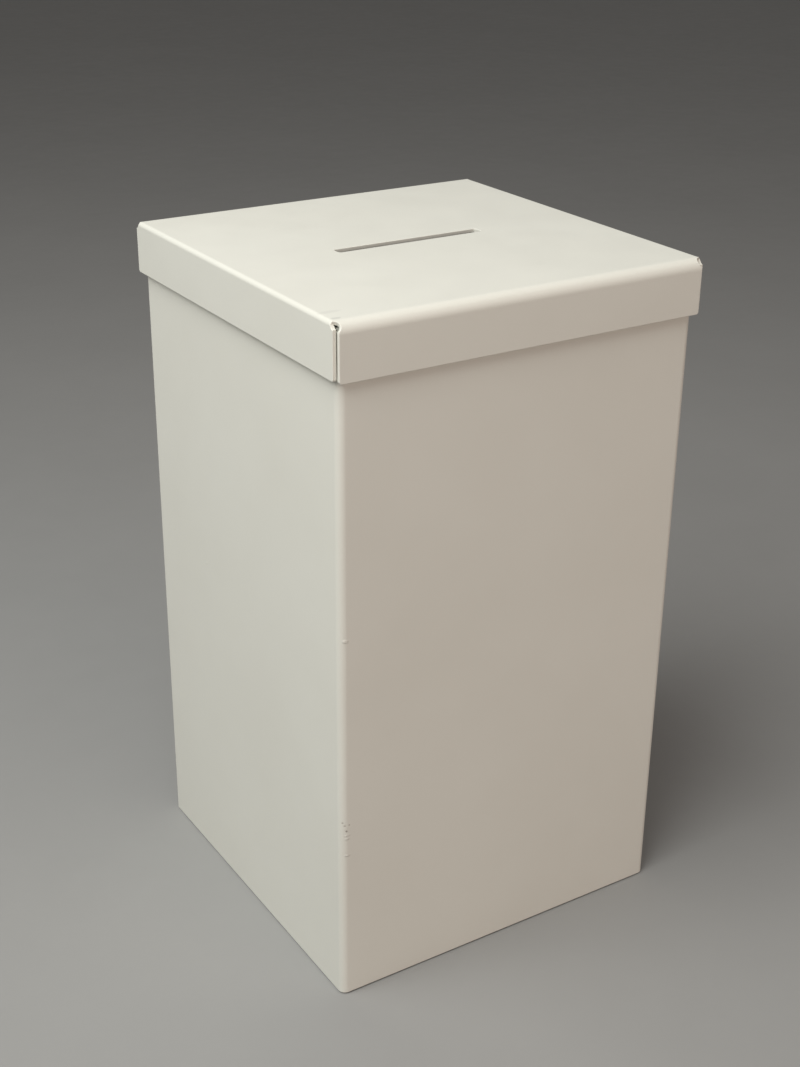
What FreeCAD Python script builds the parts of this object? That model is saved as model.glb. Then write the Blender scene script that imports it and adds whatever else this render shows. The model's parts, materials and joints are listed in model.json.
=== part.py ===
import FreeCAD, Part
import math
import os

# Donation box: a tall square box folded from one coated sheet, standing on four rubber
# feet, with a lift-off lid that is folded from a second sheet and has one slot.
# A cam lock in the rear wall holds the lid down by a bracket under the lid.
# Millimetres. +X right, +Y to the rear, +Z up. The origin is on the floor, under the
# middle of the box.

# Driving dimensions
TOTAL_H = 540.0
BODY_W = 300.0
SHEET = 3.0
BEND_IN = 3.0
FOOT_PROUD = 1.0

# Lid. Its side flanges have tight folds, and its front and rear flanges have wide ones
# and are a little deeper.
# The wide folds come to rest on the walls before the underside of the lid does.
LID_GAP = 1.5
LID_SEAT_GAP = 2.2
LID_SIDE_BEND_IN = 0.3
LID_FRONT_BEND_IN = 5.5
SIDE_FLANGE_H = 39.8
FRONT_FLANGE_H = 41.2
CORNER_CUTBACK = 3.1
CORNER_ROUND = 2.0
RELIEF_R = 3.9
RELIEF_DEPTH = 16.0
SLOT_L = 125.0
SLOT_W = 9.0
SLOT_X = -3.0
SLOT_Y = -3.0

# Seam of the wall sheet, in the rear wall
SEAM_X = -110.0
SEAM_GAP = 0.3
STRAP_W = 40.0
STRAP_MARGIN = 12.0

# Base pan and its fixings
PAN_FIT = 0.25
PAN_FLANGE = 25.0
PAN_Z = 10.0
STUD_X = 90.0
STUD_Z = 24.0
M4_R = 2.0
M4_HOLE_R = 2.3
M4_NUT_AF = 7.0
M4_NUT_T = 3.2
M4_WASHER_R = 4.5
M4_WASHER_T = 0.8
NUT_CHAMFER_ANGLE = 30.0
STUD_END = 1.5
STUD_TIP = 0.5

# Feet
FOOT_X = 118.0
FOOT_TOP_R = 12.5
FOOT_BOTTOM_R = 10.5
FOOT_RECESS_R = 5.0
FOOT_RECESS = 4.5
FOOT_EDGE = 0.8

# Screw heads and their cross recess
HEAD_R = 3.9
HEAD_T = 2.6
HEAD_ROUND = 1.2
RECESS_R = 1.9
RECESS_HALF_W = 0.45
RECESS_DEPTH = 1.5

# Cam lock, on an axis along Y
LOCK_Z = 480.0
LOCK_HEAD_R = 9.5
LOCK_HEAD_T = 2.6
LOCK_HEAD_ROUND = 1.0
BARREL_R = 7.9
BARREL_FLATS = 13.2
BARREL_L = 20.0
BARREL_FIT = 0.15
LOCK_NUT_AF = 20.0
LOCK_NUT_T = 4.0
LOCK_NUT_BORE_R = 7.95
LOCK_WASHER_R = 11.5
LOCK_WASHER_T = 0.9
LOCK_WASHER_TEETH = 12
TOOTH_DEPTH = 1.4
PLUG_R = 5.9
PLUG_FIT = 0.05
PLUG_FACE_R = 7.0
PLUG_FACE_T = 1.6
KEYWAY_L = 7.6
KEYWAY_W = 1.5
KEYWAY_DEPTH = 15.0
TANG = 6.4
TANG_SHORT = 0.1
CAM_GAP = 0.4
CAM_T = 2.0
CAM_W = 14.0
CAM_REACH = 31.0
CAM_END_ROUND = 3.5
CAM_HOLE_FIT = 0.1
CAM_SCREW_L = 9.0
CAM_WASHER_R = 5.4
CAM_WASHER_T = 0.9
CAM_WASHER_SPLIT = 0.8

# Wafers in the lock plug. Each has its window cut lower by its own amount.
WAFER_DROPS = (0.0, 0.3, 0.6, 0.0)
WAFER_T = 1.0
WAFER_LEFT = -4.4
WAFER_RIGHT = 4.4
WAFER_STEP_X = 2.2
WAFER_H = 9.6
WAFER_FIRST = 3.2
WAFER_PITCH = 3.0
WAFER_WINDOW = 2.6
WAFER_WINDOW_H = 5.2
WAFER_FIT = 0.1
SPRING_COIL_R = 0.45
SPRING_WIRE_R = 0.1
SPRING_L = 3.6
SPRING_TURNS = 5
SPRING_X = 3.3

# Keeper bracket under the lid
KEEPER_T = 2.0
KEEPER_X0 = 12.0
KEEPER_X1 = 32.0
KEEPER_WEB_Y = 118.0
KEEPER_TOP_Y = 92.0
KEEPER_LEDGE_Y = 134.0
KEEPER_UNDER_CAM = 0.5
KEEPER_BEND = 2.0
KEEPER_STUD_Y = 101.0
KEEPER_STUD_IN = 4.5

# Worked out from the above
BEND_OUT = BEND_IN + SHEET
HALF = BODY_W / 2
HALF_IN = HALF - SHEET
LID_UNDER = TOTAL_H - SHEET
WALL_TOP = LID_UNDER - LID_SEAT_GAP
LID_HALF = HALF + LID_GAP + SHEET
LID_BOTTOM = TOTAL_H - FRONT_FLANGE_H
SIDE_FLANGE_BOTTOM = TOTAL_H - SIDE_FLANGE_H
PAN_HALF = HALF_IN - PAN_FIT
PAN_TOP = PAN_Z + SHEET
PLUG_BACK = HALF - BARREL_L - CAM_GAP
CAM_Y = PLUG_BACK - CAM_T
LEDGE_TOP = LOCK_Z - CAM_W / 2 - KEEPER_UNDER_CAM
FOOT_PLACES = {
    "front_left": (-FOOT_X, -FOOT_X),
    "front_right": (FOOT_X, -FOOT_X),
    "rear_left": (-FOOT_X, FOOT_X),
    "rear_right": (FOOT_X, FOOT_X),
}

# How far a cutter reaches past the face that it opens, how close two heights count as the
# same, and how alike two unit vectors are when they count as parallel
CUT = 5.0
NEAR = 0.01
PARALLEL = 0.999

X_AXIS = FreeCAD.Vector(1, 0, 0)
Y_AXIS = FreeCAD.Vector(0, 1, 0)
Z_AXIS = FreeCAD.Vector(0, 0, 1)
CENTRE = FreeCAD.Vector(0, 0, 0)


# General shapes

def box(x0, x1, y0, y1, z0, z1):
    return Part.makeBox(x1 - x0, y1 - y0, z1 - z0, FreeCAD.Vector(x0, y0, z0))


def rod(r, length, start, along=Z_AXIS):
    return Part.makeCylinder(r, length, FreeCAD.Vector(*start), along)


def prism(points, along):
    """Solid with a flat outline of straight sides, pushed along a vector."""
    outline = Part.makePolygon([FreeCAD.Vector(*p) for p in points + points[:1]])
    return Part.Face(outline).extrude(along)


def hexagon(across_flats, height):
    """Hexagonal bar standing on z = 0."""
    r = across_flats / math.sqrt(3)
    corners = [math.radians(60 * i) for i in range(6)]
    points = [(r * math.cos(a), r * math.sin(a), 0) for a in corners]
    return prism(points, Z_AXIS * height)


def edges_along(shape, axis):
    """The straight edges of a shape that lie along an axis."""
    found = []
    for edge in shape.Edges:
        if edge.Curve.TypeId != "Part::GeomLine":
            continue
        if abs(edge.tangentAt(edge.FirstParameter).dot(axis)) > PARALLEL:
            found.append(edge)
    return found


def group(solids):
    """Separate solids of one kind, kept as one sub-part."""
    return Part.makeCompound(solids)


def point_along(shape, axis):
    """Turn a shape built along +Z so that it runs along an axis."""
    turned = shape.copy()
    turned.Placement = FreeCAD.Placement(CENTRE, FreeCAD.Rotation(Z_AXIS, axis))
    return turned


def at(shape, x, y, z):
    moved = shape.copy()
    moved.translate(FreeCAD.Vector(x, y, z))
    return moved


# Standard fasteners, each built along +Z from z = 0

def nut(across_flats, thickness, bore_r):
    """Hexagon nut with both faces chamfered to a circle."""
    body = hexagon(across_flats, thickness)
    corner_r = across_flats / math.sqrt(3)
    slope = math.tan(math.radians(NUT_CHAMFER_ANGLE))
    drop = (corner_r - across_flats / 2) * slope
    cone_h = corner_r * slope
    peak = Part.makeCone(corner_r, 0, cone_h)
    upper = at(peak, 0, 0, thickness - drop)
    middle = rod(corner_r, thickness - 2 * drop, (0, 0, drop))
    lower = at(peak.mirror(CENTRE, Z_AXIS), 0, 0, drop)
    rounded = upper.fuse(middle).fuse(lower)
    return body.common(rounded).cut(rod(bore_r, thickness, (0, 0, 0)))


def washer(outer_r, bore_r, thickness):
    return rod(outer_r, thickness, (0, 0, 0)).cut(rod(bore_r, thickness, (0, 0, 0)))


def stud(length):
    """Threaded pin with a chamfered end; its thread is left plain."""
    straight = length - STUD_TIP
    pin = rod(M4_R, straight, (0, 0, 0))
    tip = Part.makeCone(M4_R, M4_R - STUD_TIP, STUD_TIP, FreeCAD.Vector(0, 0, straight))
    return pin.fuse(tip).removeSplitter()


def pan_head_screw(length):
    """Screw with its head below z = 0 and a cross recess in the head."""
    head = rod(HEAD_R, HEAD_T, (0, 0, -HEAD_T))
    rim = [e for e in head.Edges if abs(e.BoundBox.ZMax + HEAD_T) < NEAR]
    head = head.makeFillet(HEAD_ROUND, rim)
    arm = RECESS_R
    blade = RECESS_HALF_W
    slot_a = box(-arm, arm, -blade, blade, -HEAD_T, -HEAD_T + RECESS_DEPTH)
    slot_b = box(-blade, blade, -arm, arm, -HEAD_T, -HEAD_T + RECESS_DEPTH)
    return head.cut(slot_a.fuse(slot_b)).fuse(stud(length)).removeSplitter()


# Walls

def rounded_column(half, r, z0, z1):
    """Square column with its four upright edges rounded."""
    column = box(-half, half, -half, half, z0, z1)
    return column.makeFillet(r, edges_along(column, Z_AXIS))


def double_d(r, flats, y0, y1):
    """Round bar along Y with two upright flats, on the lock's axis."""
    bar = rod(r, y1 - y0, (0, y0, LOCK_Z), Y_AXIS)
    return bar.common(box(-flats / 2, flats / 2, y0, y1, LOCK_Z - r, LOCK_Z + r))


def wall_wrap():
    """Four walls folded from one sheet; its ends meet in the rear wall."""
    outside = rounded_column(HALF, BEND_OUT, FOOT_PROUD, WALL_TOP)
    inside = rounded_column(HALF_IN, BEND_IN, FOOT_PROUD - CUT, WALL_TOP + CUT)
    seam = box(
        SEAM_X - SEAM_GAP / 2, SEAM_X + SEAM_GAP / 2,
        HALF_IN - CUT, HALF + CUT, FOOT_PROUD - CUT, WALL_TOP + CUT,
    )
    lock_hole = double_d(
        BARREL_R + BARREL_FIT, BARREL_FLATS + 2 * BARREL_FIT, HALF_IN - CUT, HALF + CUT
    )
    return outside.cut(inside).cut(seam).cut(lock_hole)


def seam_strap():
    """Strip welded inside the rear wall, behind the seam."""
    strap = box(
        SEAM_X - STRAP_W / 2, SEAM_X + STRAP_W / 2, HALF_IN - SHEET, HALF_IN,
        PAN_TOP + PAN_FLANGE + STRAP_MARGIN, WALL_TOP - STRAP_MARGIN,
    )
    return strap.makeFillet(CORNER_ROUND, edges_along(strap, Y_AXIS))


# Base

def pan_profile(half, r, bottom, top):
    """Tray section in the XZ plane with its lower corners rounded."""
    section = box(-half, half, -half, half, bottom, top)
    low = [e for e in edges_along(section, Y_AXIS) if e.BoundBox.ZMax < bottom + NEAR]
    return section.makeFillet(r, low)


def folded_tray(half, r, bottom, top):
    """Tray form with four rounded folds that meet at mitred corners."""
    one_way = pan_profile(half, r, bottom, top)
    other_way = one_way.copy()
    other_way.rotate(CENTRE, Z_AXIS, 90)
    return one_way.common(other_way)


def base_pan():
    """Floor of the box: a tray with four upturned flanges, set inside the walls."""
    top = PAN_TOP + PAN_FLANGE
    outside = folded_tray(PAN_HALF, BEND_OUT, PAN_Z, top)
    inside = folded_tray(PAN_HALF - SHEET, BEND_IN, PAN_TOP, top + CUT)
    pan = outside.cut(inside)
    inner = PAN_HALF - BEND_OUT
    rear_right = box(inner, HALF, inner, HALF, PAN_Z - CUT, top + CUT)
    rear_left = rear_right.mirror(CENTRE, X_AXIS)
    for rear in (rear_right, rear_left):
        pan = pan.cut(rear).cut(rear.mirror(CENTRE, Y_AXIS))
    for x, y in FOOT_PLACES.values():
        pan = pan.cut(rod(M4_HOLE_R, SHEET + 2 * CUT, (x, y, PAN_Z - CUT)))
    depth = 2 * CUT + SHEET
    for place, inward in stud_places():
        pan = pan.cut(point_along(rod(M4_HOLE_R, depth, (0, 0, 0)), inward).translated(place))
    return pan


def stud_places():
    """Where the pan's studs stand on the inside of the walls, and which way they point."""
    places = []
    for side in (-STUD_X, STUD_X):
        places.append((FreeCAD.Vector(side, -HALF_IN, STUD_Z), Y_AXIS))
        places.append((FreeCAD.Vector(side, HALF_IN, STUD_Z), -Y_AXIS))
        places.append((FreeCAD.Vector(-HALF_IN, side, STUD_Z), X_AXIS))
        places.append((FreeCAD.Vector(HALF_IN, side, STUD_Z), -X_AXIS))
    return places


def along_studs(piece, distance):
    """Copies of a piece on every pan stud, at a distance from the wall."""
    copies = []
    for place, inward in stud_places():
        copies.append(point_along(piece, inward).translated(place + inward * distance))
    return group(copies)


def pan_fixings():
    on_pan = PAN_FIT + SHEET
    under_nut = on_pan + M4_WASHER_T
    length = under_nut + M4_NUT_T + STUD_END
    return {
        "pan_studs": along_studs(stud(length), 0),
        "pan_washers": along_studs(washer(M4_WASHER_R, M4_HOLE_R, M4_WASHER_T), on_pan),
        "pan_nuts": along_studs(nut(M4_NUT_AF, M4_NUT_T, M4_R), under_nut),
    }


# Feet

def foot(x, y):
    """Tapered rubber foot with a recess for its screw's head."""
    body = Part.makeCone(FOOT_BOTTOM_R, FOOT_TOP_R, PAN_Z)
    ground_edge = [e for e in body.Edges if e.BoundBox.ZMax < NEAR and e.Closed]
    body = body.makeFillet(FOOT_EDGE, ground_edge)
    body = body.cut(rod(FOOT_RECESS_R, FOOT_RECESS, (0, 0, 0)))
    body = body.cut(rod(M4_HOLE_R, PAN_Z, (0, 0, 0)))
    return at(body, x, y, 0)


def at_feet(piece, z):
    return group([at(piece, x, y, z) for x, y in FOOT_PLACES.values()])


def foot_fixings():
    under_nut = PAN_TOP + M4_WASHER_T
    length = under_nut + M4_NUT_T + STUD_END - FOOT_RECESS
    return {
        "foot_screws": at_feet(pan_head_screw(length), FOOT_RECESS),
        "foot_washers": at_feet(washer(M4_WASHER_R, M4_HOLE_R, M4_WASHER_T), PAN_TOP),
        "foot_nuts": at_feet(nut(M4_NUT_AF, M4_NUT_T, M4_R), under_nut),
    }


# Lock

def along_lock(piece, y, direction=Y_AXIS):
    """Put a piece that is built along +Z on the lock's axis, starting at y."""
    return point_along(piece, direction).translated(FreeCAD.Vector(0, y, LOCK_Z))


def lock_housing():
    """Fixed shell of the lock: head outside the rear wall, flatted barrel through it."""
    head = rod(LOCK_HEAD_R, LOCK_HEAD_T, (0, HALF, LOCK_Z), Y_AXIS)
    rim = [e for e in head.Edges if abs(e.BoundBox.YMin - HALF - LOCK_HEAD_T) < NEAR]
    head = head.makeFillet(LOCK_HEAD_ROUND, rim)
    barrel = double_d(BARREL_R, BARREL_FLATS, HALF - BARREL_L, HALF)
    bore = rod(PLUG_R + PLUG_FIT, BARREL_L + 2 * CUT, (0, HALF - BARREL_L - CUT, LOCK_Z), Y_AXIS)
    face_y = HALF + LOCK_HEAD_T - PLUG_FACE_T
    face_seat = rod(PLUG_FACE_R + PLUG_FIT, CUT, (0, face_y - PLUG_FIT, LOCK_Z), Y_AXIS)
    return head.fuse(barrel).cut(bore).cut(face_seat).removeSplitter()


def lock_washer():
    """Ring with sharp teeth round it, which bites into the wall."""
    ring = washer(LOCK_WASHER_R, LOCK_NUT_BORE_R + BARREL_FIT, LOCK_WASHER_T)
    notch_w = math.pi * LOCK_WASHER_R / LOCK_WASHER_TEETH
    notch = prism(
        [
            (LOCK_WASHER_R - TOOTH_DEPTH, 0, 0),
            (LOCK_WASHER_R + TOOTH_DEPTH, -notch_w, 0),
            (LOCK_WASHER_R + TOOTH_DEPTH, notch_w, 0),
        ],
        Z_AXIS * LOCK_WASHER_T,
    )
    for i in range(LOCK_WASHER_TEETH):
        tooth_gap = notch.copy()
        tooth_gap.rotate(CENTRE, Z_AXIS, 360.0 * i / LOCK_WASHER_TEETH)
        ring = ring.cut(tooth_gap)
    return along_lock(ring, HALF_IN, -Y_AXIS)


def lock_nut():
    piece = nut(LOCK_NUT_AF, LOCK_NUT_T, LOCK_NUT_BORE_R)
    return along_lock(piece, HALF_IN - LOCK_WASHER_T, -Y_AXIS)


def wafer_places():
    """The y at which each wafer starts, from the front wafer to the rear one."""
    first = HALF - WAFER_FIRST - WAFER_T
    return [first - WAFER_PITCH * i for i in range(len(WAFER_DROPS))]


def wafer_form(y, grow):
    """Stepped plate that leaves room for a spring beside its lower half."""
    top = LOCK_Z + WAFER_H / 2 + grow
    bottom = LOCK_Z - WAFER_H / 2 - grow
    front = y - grow
    back = y + WAFER_T + grow
    left = WAFER_LEFT - grow
    plate = box(left, WAFER_STEP_X, front, back, bottom, top)
    shoulder = box(left, WAFER_RIGHT + grow, front, back, LOCK_Z + SPRING_L / 2, top)
    return plate.fuse(shoulder).removeSplitter()


def lock_plug():
    """Turning core of the lock, with its keyway, wafer slots and square tang."""
    face_y = HALF + LOCK_HEAD_T - PLUG_FACE_T
    core = rod(PLUG_R, face_y - PLUG_BACK, (0, PLUG_BACK, LOCK_Z), Y_AXIS)
    face = rod(PLUG_FACE_R, PLUG_FACE_T, (0, face_y, LOCK_Z), Y_AXIS)
    half = TANG / 2
    tang = box(-half, half, CAM_Y + TANG_SHORT, PLUG_BACK, LOCK_Z - half, LOCK_Z + half)
    plug = core.fuse(face).fuse(tang)
    keyway = box(
        -KEYWAY_W / 2, KEYWAY_W / 2, HALF + LOCK_HEAD_T - KEYWAY_DEPTH, HALF + LOCK_HEAD_T + CUT,
        LOCK_Z - KEYWAY_L / 2, LOCK_Z + KEYWAY_L / 2,
    )
    plug = plug.cut(keyway)
    for y in wafer_places():
        spring_room = box(
            WAFER_STEP_X - CUT, WAFER_RIGHT + WAFER_FIT, y - WAFER_FIT, y + WAFER_T + WAFER_FIT,
            LOCK_Z - SPRING_L / 2, LOCK_Z + WAFER_H / 2,
        )
        plug = plug.cut(wafer_form(y, WAFER_FIT).fuse(spring_room))
    tapped = rod(M4_R, CAM_SCREW_L + CAM_GAP, (0, CAM_Y, LOCK_Z), Y_AXIS)
    return plug.cut(tapped).removeSplitter()


def lock_wafers():
    """Flat plates with a window for the key, lined up as the key holds them."""
    wafers = []
    for y, drop in zip(wafer_places(), WAFER_DROPS):
        window = box(
            -WAFER_WINDOW / 2, WAFER_WINDOW / 2, y - CUT, y + CUT,
            LOCK_Z - WAFER_WINDOW_H / 2 - drop, LOCK_Z + WAFER_WINDOW_H / 2 - drop,
        )
        round_bar = rod(PLUG_R, WAFER_T, (0, y, LOCK_Z), Y_AXIS)
        wafers.append(wafer_form(y, 0).common(round_bar).cut(window))
    return group(wafers)


def wafer_springs():
    """One small coil spring beside each wafer, pushing its shoulder up."""
    coil_r = SPRING_COIL_R - SPRING_WIRE_R
    rise = SPRING_L - 2 * SPRING_WIRE_R
    springs = []
    for y in wafer_places():
        path = Part.makeHelix(rise / SPRING_TURNS, rise, coil_r)
        wire_end = Part.makeCircle(SPRING_WIRE_R, FreeCAD.Vector(coil_r, 0, 0), Y_AXIS)
        coil = Part.Wire(path).makePipeShell([Part.Wire(wire_end)], True, True)
        foot_z = LOCK_Z - SPRING_L / 2 + SPRING_WIRE_R
        springs.append(at(coil, SPRING_X, y + WAFER_T / 2, foot_z))
    return group(springs)


def lock_cam():
    """Flat arm on the tang. It points up when unlocked and turns to the right to lock."""
    half = CAM_W / 2
    hub = rod(half, CAM_T, (0, CAM_Y, LOCK_Z), Y_AXIS)
    arm = box(-half, half, CAM_Y, CAM_Y + CAM_T, LOCK_Z, LOCK_Z + CAM_REACH)
    ends = [e for e in edges_along(arm, Y_AXIS) if e.BoundBox.ZMax > LOCK_Z + half]
    arm = arm.makeFillet(CAM_END_ROUND, ends)
    square = TANG / 2 + CAM_HOLE_FIT
    hole = box(-square, square, CAM_Y - CUT, CAM_Y + CUT, LOCK_Z - square, LOCK_Z + square)
    return hub.fuse(arm).cut(hole).removeSplitter()


def cam_washer():
    """Split spring washer between the cam and its screw."""
    ring = washer(CAM_WASHER_R, M4_R + CAM_HOLE_FIT, CAM_WASHER_T)
    half = CAM_WASHER_SPLIT / 2
    split = box(0, CAM_WASHER_R + CUT, -half, half, 0, CAM_WASHER_T)
    return along_lock(ring.cut(split), CAM_Y, -Y_AXIS)


def cam_screw():
    return along_lock(pan_head_screw(CAM_SCREW_L), CAM_Y - CAM_WASHER_T)


# Lid

def arched_block(half, r, top, bottom):
    """Block with its two upper edges along Y rounded."""
    block = box(-half, half, -half, half, bottom, top)
    high = [e for e in edges_along(block, Y_AXIS) if e.BoundBox.ZMin > top - NEAR]
    return block.makeFillet(r, high)


def lid_form(half, side_r, front_r, top, bottom):
    """Block with four rounded upper edges that meet at its corners."""
    side_folds = arched_block(half, side_r, top, bottom)
    front_folds = arched_block(half, front_r, top, bottom)
    front_folds.rotate(CENTRE, Z_AXIS, 90)
    return side_folds.common(front_folds)


def lid_corner():
    """Cutter for the rear right corner: the open gap and the relief hole above it.

    The hole's axis points from the corner down into the box, at an equal slant to the top
    and to both flanges."""
    end = LID_HALF - CORNER_CUTBACK
    gap = box(end, LID_HALF + CUT, end, LID_HALF + CUT, 0, TOTAL_H + CUT)
    inward = FreeCAD.Vector(-1, -1, -1).normalize()
    start = FreeCAD.Vector(LID_HALF, LID_HALF, TOTAL_H) - inward * RELIEF_DEPTH / 2
    return gap.fuse(rod(RELIEF_R, RELIEF_DEPTH, start, inward))


def lid_shell():
    """Lid folded from one sheet, with open corners, relief holes and the slot."""
    outside = lid_form(
        LID_HALF, LID_SIDE_BEND_IN + SHEET, LID_FRONT_BEND_IN + SHEET, TOTAL_H, LID_BOTTOM
    )
    inside = lid_form(
        LID_HALF - SHEET, LID_SIDE_BEND_IN, LID_FRONT_BEND_IN, LID_UNDER, LID_BOTTOM - CUT
    )
    lid = outside.cut(inside)
    rear_right = lid_corner()
    rear_left = rear_right.mirror(CENTRE, X_AXIS)
    for rear in (rear_right, rear_left):
        lid = lid.cut(rear).cut(rear.mirror(CENTRE, Y_AXIS))
    right_trim = below_side_flange()
    lid = lid.cut(right_trim).cut(right_trim.mirror(CENTRE, X_AXIS))
    lid = lid.cut(slot())
    low_ends = []
    for axis in (X_AXIS, Y_AXIS):
        for edge in edges_along(lid, axis):
            if edge.BoundBox.ZMax < SIDE_FLANGE_BOTTOM + NEAR and edge.Length < SHEET + NEAR:
                low_ends.append(edge)
    return lid.makeFillet(CORNER_ROUND, low_ends)


def below_side_flange():
    """Cutter that makes the right flange shorter than the front and rear ones."""
    end = LID_HALF - CORNER_CUTBACK
    return box(end, LID_HALF + CUT, -end, end, LID_BOTTOM - CUT, SIDE_FLANGE_BOTTOM)


def slot():
    """Cutter for the slot, with rounded corners."""
    cutter = box(
        SLOT_X - SLOT_L / 2, SLOT_X + SLOT_L / 2, SLOT_Y - SLOT_W / 2, SLOT_Y + SLOT_W / 2,
        LID_UNDER - CUT, TOTAL_H + CUT,
    )
    return cutter.makeFillet(CORNER_ROUND, edges_along(cutter, Z_AXIS))


def keeper_bracket():
    """Folded strip under the lid; its lower ledge sits below the locked cam."""
    bottom = LEDGE_TOP - KEEPER_T
    web_back = KEEPER_WEB_Y + KEEPER_T
    top_leg = box(KEEPER_X0, KEEPER_X1, KEEPER_TOP_Y, web_back, LID_UNDER - KEEPER_T, LID_UNDER)
    web = box(KEEPER_X0, KEEPER_X1, KEEPER_WEB_Y, web_back, bottom, LID_UNDER)
    ledge = box(KEEPER_X0, KEEPER_X1, KEEPER_WEB_Y, KEEPER_LEDGE_Y, bottom, LEDGE_TOP)
    strip = top_leg.fuse(web).fuse(ledge).removeSplitter()
    strip = strip.makeFillet(KEEPER_BEND + KEEPER_T, keeper_edges(strip, web_back, LID_UNDER))
    strip = strip.makeFillet(KEEPER_BEND + KEEPER_T, keeper_edges(strip, KEEPER_WEB_Y, bottom))
    inner_top = keeper_edges(strip, KEEPER_WEB_Y, LID_UNDER - KEEPER_T)
    strip = strip.makeFillet(KEEPER_BEND, inner_top)
    strip = strip.makeFillet(KEEPER_BEND, keeper_edges(strip, web_back, LEDGE_TOP))
    for x in keeper_stud_x():
        strip = strip.cut(rod(M4_HOLE_R, SHEET + CUT, (x, KEEPER_STUD_Y, LID_UNDER - CUT)))
    return strip


def keeper_edges(strip, y, z):
    """The strip's edges along X at one corner of its section."""
    found = []
    for edge in edges_along(strip, X_AXIS):
        middle = edge.BoundBox.Center
        if abs(middle.y - y) < NEAR and abs(middle.z - z) < NEAR:
            found.append(edge)
    return found


def keeper_stud_x():
    return (KEEPER_X0 + KEEPER_STUD_IN, KEEPER_X1 - KEEPER_STUD_IN)


def on_keeper(piece, z):
    return group([at(piece, x, KEEPER_STUD_Y, z) for x in keeper_stud_x()])


def keeper_fixings():
    length = KEEPER_T + M4_WASHER_T + M4_NUT_T + STUD_END
    washer_z = LID_UNDER - KEEPER_T - M4_WASHER_T
    hanging = stud(length).mirror(CENTRE, Z_AXIS)
    return {
        "keeper_studs": on_keeper(hanging, LID_UNDER),
        "keeper_washers": on_keeper(washer(M4_WASHER_R, M4_HOLE_R, M4_WASHER_T), washer_z),
        "keeper_nuts": on_keeper(nut(M4_NUT_AF, M4_NUT_T, M4_R), washer_z - M4_NUT_T),
    }


def all_parts():
    parts = {
        "wall_wrap": wall_wrap(),
        "seam_strap": seam_strap(),
        "base_pan": base_pan(),
        "lock_housing": lock_housing(),
        "lock_washer": lock_washer(),
        "lock_nut": lock_nut(),
        "lock_plug": lock_plug(),
        "lock_wafers": lock_wafers(),
        "wafer_springs": wafer_springs(),
        "lock_cam": lock_cam(),
        "cam_washer": cam_washer(),
        "cam_screw": cam_screw(),
        "lid_shell": lid_shell(),
        "keeper_bracket": keeper_bracket(),
    }
    for name, (x, y) in FOOT_PLACES.items():
        parts["foot_" + name] = foot(x, y)
    parts.update(pan_fixings())
    parts.update(foot_fixings())
    parts.update(keeper_fixings())
    return parts


os.makedirs("parts", exist_ok=True)
for name, shape in all_parts().items():
    shape.exportStep("parts/" + name + ".step")
    print(name, len(shape.Solids), shape.isValid(), round(shape.Volume, 2))
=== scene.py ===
import json
import math
import bmesh
import bpy
from mathutils import Matrix, Vector


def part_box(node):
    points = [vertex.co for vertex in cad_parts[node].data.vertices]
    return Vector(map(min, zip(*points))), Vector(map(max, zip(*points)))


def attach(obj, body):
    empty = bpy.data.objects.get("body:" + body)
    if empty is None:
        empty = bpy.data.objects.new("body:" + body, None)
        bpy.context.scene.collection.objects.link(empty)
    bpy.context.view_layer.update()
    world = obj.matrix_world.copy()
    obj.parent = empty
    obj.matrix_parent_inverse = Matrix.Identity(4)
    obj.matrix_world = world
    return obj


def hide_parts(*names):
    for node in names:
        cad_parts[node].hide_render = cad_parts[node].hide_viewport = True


# A white coated sheet-metal donation box with a slotted lift-off lid.
# The walls, the lid and the base pan are made here as a metalworker makes them: a flat
# blank with rounded cut edges is folded along its bend lines. The small fittings are the
# frame's own nodes, with their edges eased and a finish.
# Everything is in metres, in the frame's coordinates.

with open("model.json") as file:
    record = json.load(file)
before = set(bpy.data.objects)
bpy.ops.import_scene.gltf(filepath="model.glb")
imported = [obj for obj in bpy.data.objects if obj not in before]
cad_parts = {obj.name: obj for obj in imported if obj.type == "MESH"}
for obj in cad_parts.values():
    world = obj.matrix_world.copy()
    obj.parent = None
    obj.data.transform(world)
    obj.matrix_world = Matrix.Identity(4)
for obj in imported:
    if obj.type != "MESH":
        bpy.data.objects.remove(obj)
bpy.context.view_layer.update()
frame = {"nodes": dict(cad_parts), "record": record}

# The sheet and its bends. The walls and the pan share one inner bend radius, and the lid
# has tight side folds and wide front and rear folds.
SHEET = 0.003
BEND_IN = 0.003
LID_SIDE_BEND_IN = 0.0003
LID_FRONT_BEND_IN = 0.0055
BEND_STEPS = 14

# The rounding of every cut edge
RIM = 0.0005
RIM_STEPS = 4

# How finely outlines are drawn
CORNER_STEPS = 6
RELIEF_STEPS = 40
LOCK_HOLE_STEPS = 16
SCREW_HOLE_STEPS = 24

# Points closer than this are joined, and cuts this close to a point go through it
JOIN = 1e-6
CUT_NEAR = 1e-7

# How much shorter the lid's side flanges are than its front and rear ones
SIDE_SHORT = 0.0014

# The lid's cut-outs
CUTBACK = 0.0031
CORNER_R = 0.002
RELIEF_R = 0.0047
SLOT_CORNER_R = 0.002

# How far the slot reaches past the clear opening in the record, at its ends and its sides
SLOT_PAST_ENDS = 0.002
SLOT_PAST_SIDES = 0.0002

# The walls' seam and lock hole
SEAM_X = -0.110
SEAM_GAP = 0.0003
LOCK_HOLE_R = 0.00805
LOCK_HOLE_FLATS = 0.0135

# Holes in the base pan
HOLE_R = 0.0023
STUD_SIDE = 0.090

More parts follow.
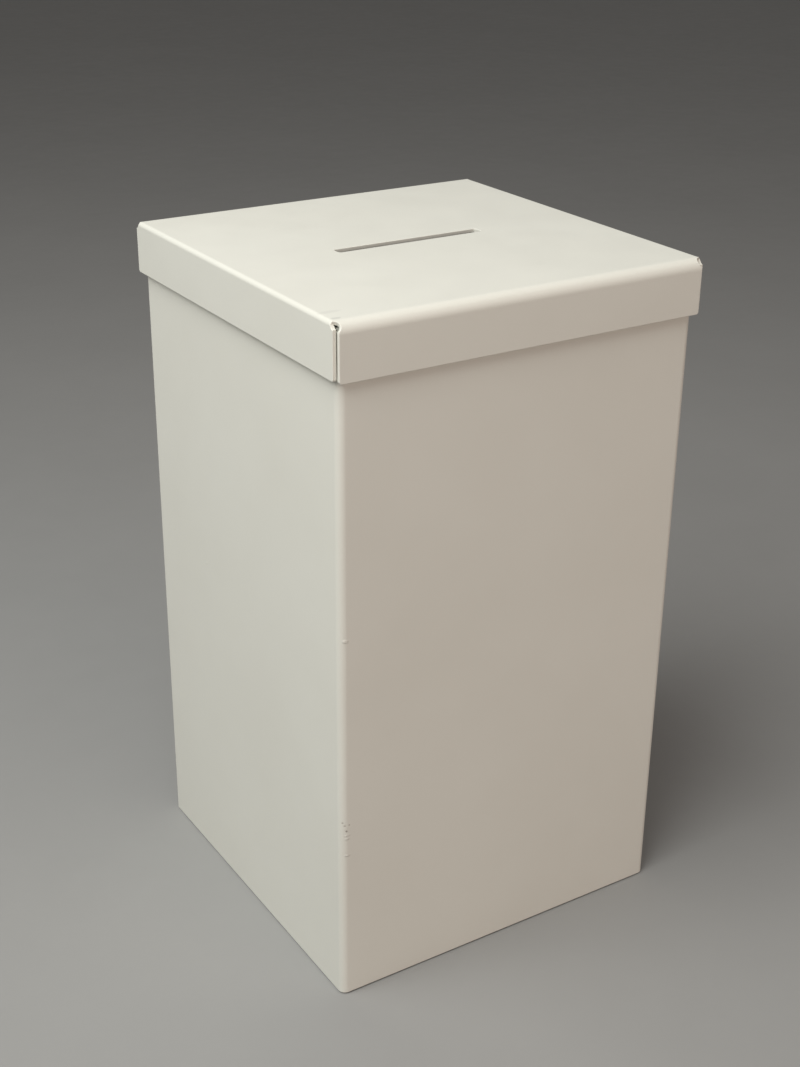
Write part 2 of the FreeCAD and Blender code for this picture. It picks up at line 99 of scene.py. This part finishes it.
# Colours, as linear red, green, blue and alpha
WHITE = (0.790, 0.787, 0.722, 1.0)
WHITE_WORN = (0.768, 0.762, 0.695, 1.0)
# The grey of the lid's patches, which is partly painted shade beside the relief hole
SHADE_AND_PATCH_GREY = (0.42, 0.42, 0.40, 1.0)
BARE_PATCH = (0.38, 0.36, 0.32, 1.0)
WORN_PATCH = (0.55, 0.53, 0.48, 1.0)
CHALKY = (0.86, 0.87, 0.86, 1.0)

# Wear on the walls, most of it on the upright bend between the front and the left wall.
# Each chip has a centre, its radii and its colour, and each nib its centre, radii and height.
WALL_CHIPS = (
    ((-0.1452, -0.1498, 0.1509), (0.0009, 0.0009, 0.0009), BARE_PATCH),
    ((-0.1464, -0.1494, 0.1556), (0.0012, 0.0010, 0.0007), WORN_PATCH),
    ((-0.1479, -0.1486, 0.1582), (0.0010, 0.0010, 0.0008), WORN_PATCH),
    ((-0.1430, -0.1500, 0.1558), (0.0007, 0.0007, 0.0007), WORN_PATCH),
    ((0.1472, -0.1496, 0.4498), (0.0010, 0.0012, 0.0020), CHALKY),
)
WALL_NIBS = (
    ((-0.1452, -0.1497, 0.3090), (0.0024, 0.0020, 0.0015), 0.0003),
    ((-0.1446, -0.1500, 0.1470), (0.0024, 0.0020, 0.0012), 0.0003),
    ((-0.1446, -0.1500, 0.1440), (0.0022, 0.0020, 0.0010), 0.0003),
    ((-0.1448, -0.1500, 0.1292), (0.0022, 0.0020, 0.0010), 0.0004),
    ((-0.1500, 0.1200, 0.2900), (0.0008, 0.0008, 0.0008), 0.0003),
    ((-0.1500, 0.0610, 0.2830), (0.0008, 0.0008, 0.0008), 0.0003),
)

# How far a worn spot's outline wanders, as a share of its radius, and where it fades out
RAGGED = 0.45
SPOT_EDGE = 1.1
SPOT_CORE = 0.6

# Grey patches on the lid beside the relief hole, each with its strength. The small one at the hole
# is painted shade, where the hole's rim lies in shade. The larger one is a faint darker patch.
LID_SHADE_AND_GREY_PATCHES = (
    ((-0.1450, -0.1300, 0.5400), (0.0090, 0.0030, 0.0040), 0.16),
    ((-0.1478, -0.1440, 0.5395), (0.0040, 0.0022, 0.0030), 0.34),
)

# The camera: its place in box heights, its azimuth, elevation and roll in degrees, and its
# lens and sensor in millimetres
CAMERA_PLACE = (-1.1835, -1.8441, 1.5633)
CAMERA_TURN = (-32.43, 24.82, 0.60)
LENS = 54.2
SENSOR = 36

LID_LOW, LID_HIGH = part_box("lid_shell")
WALL_LOW, WALL_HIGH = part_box("wall_wrap")
PAN_LOW, PAN_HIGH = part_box("base_pan")
LOCK_LOW, LOCK_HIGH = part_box("lock_housing")
LOCK_AXIS = (LOCK_LOW + LOCK_HIGH) / 2


# Outlines. Each is a list of (x, y) going round once.

def arc(centre, radius, start, end, steps):
    """Points on an arc, with its angles in degrees and both ends included."""
    points = []
    for i in range(steps + 1):
        angle = math.radians(start + (end - start) * i / steps)
        points.append((centre[0] + radius * math.cos(angle), centre[1] + radius * math.sin(angle)))
    return points


def circle(centre, radius, steps):
    return arc(centre, radius, 0, 360, steps)[:-1]


def rounded_rectangle(x0, x1, y0, y1, radius):
    """Rectangle with rounded corners, counter-clockwise from its lower right corner."""
    points = []
    for x, y, start in (
        (x1 - radius, y0 + radius, -90),
        (x1 - radius, y1 - radius, 0),
        (x0 + radius, y1 - radius, 90),
        (x0 + radius, y0 + radius, 180),
    ):
        points += arc((x, y), radius, start, start + 90, CORNER_STEPS)
    return points


def all_round(quarter):
    """Mirror one quarter of an outline about both axes to close it."""
    left = [(-x, y) for x, y in reversed(quarter)]
    upper = quarter + left
    return upper + [(x, -y) for x, y in reversed(upper)]


# Folding

def flat_blank(outline, holes):
    """Closed plate, one sheet thick, with rounded rims along every cut edge."""
    bm = bmesh.new()
    for ring in [outline] + holes:
        verts = [bm.verts.new((x, y, 0)) for x, y in ring]
        for i, vert in enumerate(verts):
            bm.edges.new((vert, verts[(i + 1) % len(verts)]))
    bmesh.ops.triangle_fill(bm, use_beauty=True, edges=bm.edges[:], normal=(0, 0, 1))
    upper = bmesh.ops.extrude_face_region(bm, geom=bm.faces[:], use_keep_orig=True)
    risen = [item for item in upper["geom"] if isinstance(item, bmesh.types.BMVert)]
    bmesh.ops.translate(bm, verts=risen, vec=(0, 0, SHEET))
    bmesh.ops.recalc_face_normals(bm, faces=bm.faces[:])
    rims = [e for e in bm.edges if e.is_manifold and is_rim(e)]
    bmesh.ops.bevel(
        bm, geom=rims, offset=RIM, segments=RIM_STEPS, profile=0.5,
        affect="EDGES", clamp_overlap=False,
    )
    return bm


def is_rim(edge):
    """True between a face of the plate and its cut side."""
    level = [abs(face.normal.z) > 0.5 for face in edge.link_faces]
    return level[0] != level[1]


def score(bm, along, lines):
    """Divide the plate along lines across x or y, so that it can bend there."""
    normal = Vector((1, 0, 0)) if along == "x" else Vector((0, 1, 0))
    for line in lines:
        geom = bm.verts[:] + bm.edges[:] + bm.faces[:]
        bmesh.ops.bisect_plane(bm, geom=geom, plane_co=normal * line, plane_no=normal, dist=CUT_NEAR)


class Bend:
    """A quarter-turn fold, by where it starts on the flat blank and its inner radius.

    Lengths on the blank are measured along the sheet's outer face."""

    def __init__(self, outer_face, inner_radius):
        self.inner = inner_radius
        self.outer = inner_radius + SHEET
        self.start = outer_face - self.outer
        self.length = self.outer * math.pi / 2
        self.end = self.start + self.length
        self.middle = self.start + self.length / 2

    def lines(self):
        return [self.start + self.length * i / BEND_STEPS for i in range(BEND_STEPS + 1)]

    def reach(self, flange_height):
        """How far out on the blank a flange of that outer height ends."""
        return self.end + flange_height - self.outer

    def past(self, distance, depth):
        """Where a point ends up: how far out it is, and its height over the inner face.

        depth is the point's height in the flat sheet above its inner face."""
        past = distance - self.start
        if past <= 0:
            return distance, depth
        if past < self.length:
            angle = past / self.length * math.pi / 2
            radius = self.inner + depth
            return self.start + radius * math.sin(angle), radius * math.cos(angle) - self.inner
        return self.start + self.inner + depth, self.length - self.inner - past


def fold_flanges(bm, side, front):
    """Fold the four sides of a blank down, away from its outer face."""
    for sign in (-1, 1):
        score(bm, "x", [sign * line for line in side.lines()])
        score(bm, "y", [sign * line for line in front.lines()])
    for vert in bm.verts:
        x, y, depth = vert.co
        if abs(x) - side.start > abs(y) - front.start:
            out, height = side.past(abs(x), depth)
            vert.co = (math.copysign(out, x), y, height)
        else:
            out, height = front.past(abs(y), depth)
            vert.co = (x, math.copysign(out, y), height)


def finished_mesh(name, bm, material):
    """Turn a bmesh into a smooth-shaded object whose flat faces stay flat."""
    bmesh.ops.remove_doubles(bm, verts=bm.verts[:], dist=JOIN)
    bmesh.ops.recalc_face_normals(bm, faces=bm.faces[:])
    for face in bm.faces:
        face.smooth = True
    mesh = bpy.data.meshes.new(name)
    bm.to_mesh(mesh)
    bm.free()
    piece = bpy.data.objects.new(name, mesh)
    bpy.context.scene.collection.objects.link(piece)
    mesh.materials.append(material)
    weigh_normals(piece)
    return piece


def weigh_normals(piece):
    weighted = piece.modifiers.new("flat faces", "WEIGHTED_NORMAL")
    weighted.weight = 100
    weighted.keep_sharp = False


# The lid

def lid_slot():
    """The slot's outline, read from the opening that the record states."""
    openings = frame["record"]["physics"]["openings"]
    low, high = next(o["box_m"] for o in openings if o["name"] == "money_slot")
    return rounded_rectangle(
        low[0] - SLOT_PAST_ENDS, high[0] + SLOT_PAST_ENDS,
        low[1] - SLOT_PAST_SIDES, high[1] + SLOT_PAST_SIDES, SLOT_CORNER_R,
    )


def lid_outline(side, front):
    """Blank of the lid: four flanges with rounded ends and a relief hole between them."""
    height = LID_HIGH.z - LID_LOW.z
    end = LID_HIGH.x - CUTBACK
    side_reach = side.reach(height - SIDE_SHORT)
    front_reach = front.reach(height)
    quarter = arc((side_reach - CORNER_R, end - CORNER_R), CORNER_R, 0, 90, CORNER_STEPS)
    quarter += relief_arc(side.middle, front.middle, end)
    quarter += arc((end - CORNER_R, front_reach - CORNER_R), CORNER_R, 0, 90, CORNER_STEPS)
    return all_round(quarter)


def relief_arc(x, y, end):
    """Rim of the relief hole where the bends cross, round the inner side of the hole."""
    first = -math.degrees(math.asin((y - end) / RELIEF_R))
    last = -270 + math.degrees(math.asin((x - end) / RELIEF_R))
    return arc((x, y), RELIEF_R, first, last, RELIEF_STEPS)


def make_lid(material):
    side = Bend(LID_HIGH.x, LID_SIDE_BEND_IN)
    front = Bend(LID_HIGH.y, LID_FRONT_BEND_IN)
    bm = flat_blank(lid_outline(side, front), [lid_slot()])
    fold_flanges(bm, side, front)
    bmesh.ops.translate(bm, verts=bm.verts[:], vec=(0, 0, LID_HIGH.z - SHEET))
    lid = finished_mesh("lid", bm, material)
    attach(lid, "lid")
    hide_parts("lid_shell")
    return lid


# The walls

def wall_runs(bend):
    """Lengths of the flat stretches between the bends, from the seam round to the seam."""
    side = 2 * bend.start
    first = SEAM_X - SEAM_GAP / 2 + side / 2
    last = side / 2 - SEAM_X - SEAM_GAP / 2
    return [first, side, side, side, last]


def around_box(distance, depth, bend):
    """Place a point of the wall sheet, from its distance along the blank and its depth."""
    heading = Vector((-1, 0))
    outward = Vector((0, 1))
    point = Vector((SEAM_X - SEAM_GAP / 2, WALL_HIGH.y - SHEET))
    left = distance
    for run in wall_runs(bend):
        if left <= run:
            return point + heading * left + outward * depth
        left -= run
        point += heading * run
        centre = point - outward * bend.inner
        if left < bend.length:
            angle = left / bend.length * math.pi / 2
            turned = outward * math.cos(angle) + heading * math.sin(angle)
            return centre + turned * (bend.inner + depth)
        left -= bend.length
        point = centre + heading * bend.inner
        heading, outward = -outward, heading
    return point + heading * left + outward * depth


def lock_hole(middle):
    """Round hole with two flat sides, on the wall blank."""
    half = LOCK_HOLE_FLATS / 2
    tip = math.degrees(math.acos(half / LOCK_HOLE_R))
    points = arc(middle, LOCK_HOLE_R, tip, 180 - tip, LOCK_HOLE_STEPS)
    return points + arc(middle, LOCK_HOLE_R, 180 + tip, 360 - tip, LOCK_HOLE_STEPS)


def make_walls(material):
    bend = Bend(WALL_HIGH.x, BEND_IN)
    runs = wall_runs(bend)
    length = sum(runs) + 4 * bend.length
    lock_at = length - (LOCK_AXIS.x - (SEAM_X + SEAM_GAP / 2))
    outline = [(0, WALL_LOW.z), (length, WALL_LOW.z), (length, WALL_HIGH.z), (0, WALL_HIGH.z)]
    bm = flat_blank(outline, [lock_hole((lock_at, LOCK_AXIS.z))])
    at = 0
    for run in runs[:-1]:
        at += run
        score(bm, "x", [at + line - bend.start for line in bend.lines()])
        at += bend.length
    for vert in bm.verts:
        place = around_box(vert.co.x, vert.co.z, bend)
        vert.co = (place.x, place.y, vert.co.y)
    walls = finished_mesh("walls", bm, material)
    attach(walls, "box")
    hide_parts("wall_wrap")
    return walls


# The base pan

def pan_holes(bend):
    """Holes for the feet's screws in the floor and for the studs in the flanges."""
    foot_low, foot_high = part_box("foot_front_right")
    foot_at = (foot_low.x + foot_high.x) / 2
    washer_low, washer_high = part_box("pan_washers")
    stud_z = (washer_low.z + washer_high.z) / 2
    stud_reach = bend.reach(stud_z - PAN_LOW.z)
    places = [(foot_at, foot_at), (stud_reach, STUD_SIDE), (STUD_SIDE, stud_reach)]
    return [circle(centre, HOLE_R, SCREW_HOLE_STEPS) for centre in all_round(places)]


def make_pan(material):
    bend = Bend(PAN_HIGH.x, BEND_IN)
    reach = bend.reach(PAN_HIGH.z - PAN_LOW.z)
    quarter = arc((reach - CORNER_R, bend.start - CORNER_R), CORNER_R, 0, 90, CORNER_STEPS)
    quarter += [(bend.start, bend.start)]
    quarter += arc((bend.start - CORNER_R, reach - CORNER_R), CORNER_R, 0, 90, CORNER_STEPS)
    bm = flat_blank(all_round(quarter), pan_holes(bend))
    fold_flanges(bm, bend, bend)
    for vert in bm.verts:
        vert.co.z = PAN_LOW.z + SHEET - vert.co.z
    pan = finished_mesh("pan", bm, material)
    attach(pan, "box")
    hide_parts("base_pan")
    return pan


# Finishes

class Finish:
    """A material under construction, with short helpers for its nodes."""

    def __init__(self, name):
        self.material = bpy.data.materials.new(name)
        self.material.use_nodes = True
        self.tree = self.material.node_tree
        self.shader = self.tree.nodes["Principled BSDF"]
        self.place = self.tree.nodes.new("ShaderNodeTexCoord").outputs["Object"]

    def node(self, kind, **settings):
        made = self.tree.nodes.new("ShaderNode" + kind)
        for key, value in settings.items():
            setattr(made, key, value)
        return made

    def link(self, source, target):
        self.tree.links.new(source, target)

    def noise(self, scale, detail=2.0, rough=0.5, stretch=(1, 1, 1)):
        mapping = self.node("Mapping")
        mapping.inputs["Scale"].default_value = stretch
        self.link(self.place, mapping.inputs["Vector"])
        noise = self.node("TexNoise")
        noise.inputs["Scale"].default_value = scale
        noise.inputs["Detail"].default_value = detail
        noise.inputs["Roughness"].default_value = rough
        self.link(mapping.outputs["Vector"], noise.inputs["Vector"])
        return noise.outputs["Fac"]

    def spread(self, value, low, high, to_low, to_high):
        ramp = self.node("MapRange")
        ramp.inputs["From Min"].default_value = low
        ramp.inputs["From Max"].default_value = high
        ramp.inputs["To Min"].default_value = to_low
        ramp.inputs["To Max"].default_value = to_high
        self.link(value, ramp.inputs["Value"])
        return ramp.outputs["Result"]

    def math(self, operation, a, b):
        node = self.node("Math", operation=operation)
        for value, socket in ((a, node.inputs[0]), (b, node.inputs[1])):
            if isinstance(value, (int, float)):
                socket.default_value = value
            else:
                self.link(value, socket)
        return node.outputs[0]

    def blend(self, amount, first, second):
        """Mix two colours, each a fixed colour or another node's output."""
        mix = self.node("Mix", data_type="RGBA")
        self.link(amount, mix.inputs["Factor"])
        colours = [s for s in mix.inputs if s.type == "RGBA"]
        for value, socket in ((first, colours[0]), (second, colours[1])):
            if isinstance(value, tuple):
                socket.default_value = value
            else:
                self.link(value, socket)
        return [s for s in mix.outputs if s.type == "RGBA"][0]

    def bump(self, height, distance, strength=1.0, onto=None):
        bump = self.node("Bump")
        bump.inputs["Strength"].default_value = strength
        bump.inputs["Distance"].default_value = distance
        self.link(height, bump.inputs["Height"])
        if onto is not None:
            self.link(onto, bump.inputs["Normal"])
        return bump.outputs["Normal"]

    def spot(self, centre, size):
        """1 inside a ragged spot round a point, falling to 0 at its edge. size is its radii."""
        mapping = self.node("Mapping", vector_type="POINT")
        mapping.inputs["Location"].default_value = [-c / s for c, s in zip(centre, size)]
        mapping.inputs["Scale"].default_value = [1 / s for s in size]
        self.link(self.place, mapping.inputs["Vector"])
        length = self.node("VectorMath", operation="LENGTH")
        self.link(mapping.outputs["Vector"], length.inputs[0])
        ragged = self.spread(self.noise(0.7 / min(size), 3), 0, 1, -RAGGED, RAGGED)
        reach = self.math("ADD", length.outputs["Value"], ragged)
        return self.spread(reach, SPOT_EDGE, SPOT_CORE, 0, 1)

    def paint(self, base, roughness, normal=None):
        if isinstance(base, tuple):
            self.shader.inputs["Base Color"].default_value = base
        else:
            self.link(base, self.shader.inputs["Base Color"])
        self.link(roughness, self.shader.inputs["Roughness"])
        if normal is not None:
            self.link(normal, self.shader.inputs["Normal"])
        return self.material


def colour(red, green, blue):
    return (red, green, blue, 1.0)


def powder_coat(name, chips=(), nibs=(), shade_and_grey_patches=()):
    """Satin white powder coat: orange-peel texture, soft uneven tone, chips, and grey patches that
    include painted shade.
    """
    finish = Finish(name)
    clouds = finish.spread(finish.noise(7.0, 4, 0.55), 0.35, 0.7, 0, 1)
    base = finish.blend(clouds, WHITE, WHITE_WORN)
    grain = finish.spread(finish.noise(2400.0, 2, 0.6), 0.3, 0.7, 0.985, 1.015)
    tone = finish.node("HueSaturation")
    finish.link(grain, tone.inputs["Value"])
    finish.link(base, tone.inputs["Color"])
    base = tone.outputs["Color"]
    peel = finish.noise(520.0, 3, 0.55)
    normal = finish.bump(finish.noise(9.0, 2, 0.5), 0.0016, 0.35)
    normal = finish.bump(peel, 0.00010, 0.5, normal)
    rough = finish.spread(finish.noise(26.0, 5, 0.6), 0.3, 0.7, 0.38, 0.50)
    # Grey patches, one of them painted shade beside the relief hole: each darkens the colour and
    # roughens the coat a little
    for centre, size, strength in shade_and_grey_patches:
        mark = finish.math("MULTIPLY", finish.spot(centre, size), strength)
        base = finish.blend(mark, base, SHADE_AND_PATCH_GREY)
        rough = finish.math("ADD", rough, finish.math("MULTIPLY", mark, 0.15))
    for centre, size, shade in chips:
        mark = finish.spot(centre, size)
        base = finish.blend(mark, base, shade)
        depth = finish.math("MULTIPLY", mark, -1.0)
        normal = finish.bump(depth, 0.00015, 0.8, normal)
    for centre, size, height in nibs:
        normal = finish.bump(finish.spot(centre, size), height, 1.0, normal)
    finish.shader.inputs["IOR"].default_value = 1.5
    finish.shader.inputs["Specular IOR Level"].default_value = 0.4
    return finish.paint(base, rough, normal)


def plated_steel(name, tint, low, high):
    """Zinc-plated or sprung steel: fine uneven sheen and a cloudy tint."""
    finish = Finish(name)
    clouds = finish.spread(finish.noise(180.0, 4, 0.6), 0.3, 0.7, 0, 1)
    darker = tuple(c * 0.78 for c in tint[:3]) + (1.0,)
    base = finish.blend(clouds, tint, darker)
    rough = finish.spread(finish.noise(420.0, 4, 0.6), 0.25, 0.75, low, high)
    normal = finish.bump(finish.noise(1500.0, 3, 0.6), 0.00004, 0.5)
    finish.shader.inputs["Metallic"].default_value = 1.0
    return finish.paint(base, rough, normal)


def foot_rubber():
    """Matt black moulded rubber with a fine grain and pale dust."""
    finish = Finish("foot rubber")
    dust = finish.spread(finish.noise(60.0, 5, 0.65), 0.5, 0.8, 0, 0.5)
    base = finish.blend(dust, colour(0.018, 0.018, 0.019), colour(0.075, 0.072, 0.068))
    rough = finish.spread(finish.noise(300.0, 4, 0.6), 0.3, 0.7, 0.72, 0.92)
    normal = finish.bump(finish.noise(1800.0, 3, 0.6), 0.00008, 0.6)
    finish.shader.inputs["Specular IOR Level"].default_value = 0.35
    return finish.paint(base, rough, normal)


# The frame's own small parts

def ease_edges(node, material, width):
    """Round a CAD node's sharp edges a little and give it its finish."""
    piece = frame["nodes"][node]
    weld = piece.modifiers.new("join faces", "WELD")
    weld.merge_threshold = JOIN
    bevel = piece.modifiers.new("eased edges", "BEVEL")
    bevel.width = width
    bevel.segments = 2
    bevel.limit_method = "ANGLE"
    bevel.angle_limit = math.radians(40)
    bevel.use_clamp_overlap = True
    weigh_normals(piece)
    piece.data.materials.clear()
    piece.data.materials.append(material)


def finish_fittings():
    steel = plated_steel("zinc plate", colour(0.60, 0.61, 0.60), 0.26, 0.46)
    chrome = plated_steel("lock chrome", colour(0.72, 0.73, 0.75), 0.09, 0.22)
    brass = plated_steel("wafer brass", colour(0.70, 0.52, 0.24), 0.25, 0.42)
    spring = plated_steel("spring steel", colour(0.38, 0.39, 0.41), 0.25, 0.40)
    rubber = foot_rubber()
    finishes = {
        "zinc_steel": (steel, 0.00015),
        "lock_chrome": (chrome, 0.00015),
        "lock_brass": (brass, 0.00005),
        "spring_steel": (spring, 0.00001),
        "foot_rubber": (rubber, 0.0003),
        "inner_coat": (powder_coat("inner powder coat"), 0.0008),
    }
    replaced = ("lid_shell", "wall_wrap", "base_pan")
    for entry in frame["record"]["subparts"]:
        if entry["node"] not in replaced:
            material, width = finishes[entry["material_slot"]]
            ease_edges(entry["node"], material, width)


# Floor, light and camera

def make_floor():
    bpy.ops.mesh.primitive_plane_add(size=30)
    floor = bpy.context.object
    floor.name = "floor"
    finish = Finish("pale floor")
    clouds = finish.spread(finish.noise(3.0, 4, 0.6), 0.3, 0.7, 0, 1)
    base = finish.blend(clouds, colour(0.34, 0.34, 0.335), colour(0.325, 0.325, 0.32))
    rough = finish.spread(finish.noise(20.0, 3, 0.6), 0.3, 0.7, 0.6, 0.75)
    floor.data.materials.append(finish.paint(base, rough))


def soft_light(name, place, size, power, tint):
    """Square soft light aimed at the middle of the box."""
    data = bpy.data.lights.new(name, "AREA")
    data.shape = "SQUARE"
    data.size = size
    data.energy = power
    data.color = tint
    lamp = bpy.data.objects.new(name, data)
    bpy.context.scene.collection.objects.link(lamp)
    aim = Vector((0, 0, LID_HIGH.z * 0.5)) - Vector(place)
    lamp.location = place
    lamp.rotation_euler = aim.to_track_quat("-Z", "Y").to_euler()


def make_lights():
    soft_light("key", (-1.22, -0.34, 2.14), 1.9, 57, (1.0, 1.0, 0.965))
    soft_light("warm fill", (0.9, -4.0, 1.2), 3.0, 40, (1.0, 0.74, 0.63))
    world = bpy.data.worlds.new("studio")
    bpy.context.scene.world = world
    world.use_nodes = True
    sky = world.node_tree.nodes["Background"]
    sky.inputs["Color"].default_value = colour(1.0, 0.97, 0.93)
    sky.inputs["Strength"].default_value = 0.17
    bpy.context.scene.view_settings.view_transform = "Standard"


def make_camera():
    """A standing viewer's camera, to the left of the front and above the lid."""
    height = LID_HIGH.z - WALL_LOW.z
    place = Vector(CAMERA_PLACE) * height
    place.z += WALL_LOW.z
    azimuth, elevation, roll = (math.radians(a) for a in CAMERA_TURN)
    back = Vector((
        math.sin(azimuth) * math.cos(elevation),
        -math.cos(azimuth) * math.cos(elevation),
        math.sin(elevation),
    ))
    level = Vector((math.cos(azimuth), math.sin(azimuth), 0))
    upright = back.cross(level)
    right = level * math.cos(roll) + upright * math.sin(roll)
    up = upright * math.cos(roll) - level * math.sin(roll)
    data = bpy.data.cameras.new("camera")
    data.sensor_width = SENSOR
    data.lens = LENS
    camera = bpy.data.objects.new("camera", data)
    bpy.context.scene.collection.objects.link(camera)
    turn = Matrix((right, up, back)).transposed()
    camera.matrix_world = Matrix.Translation(place) @ turn.to_4x4()
    bpy.context.scene.camera = camera


def main():
    # The lid's coat carries grey patches, one of them painted shade beside its relief hole
    make_lid(powder_coat("lid powder coat", shade_and_grey_patches=LID_SHADE_AND_GREY_PATCHES))
    make_walls(powder_coat("wall powder coat", chips=WALL_CHIPS, nibs=WALL_NIBS))
    make_pan(powder_coat("pan powder coat"))
    finish_fittings()
    make_floor()
    make_lights()
    make_camera()


main()
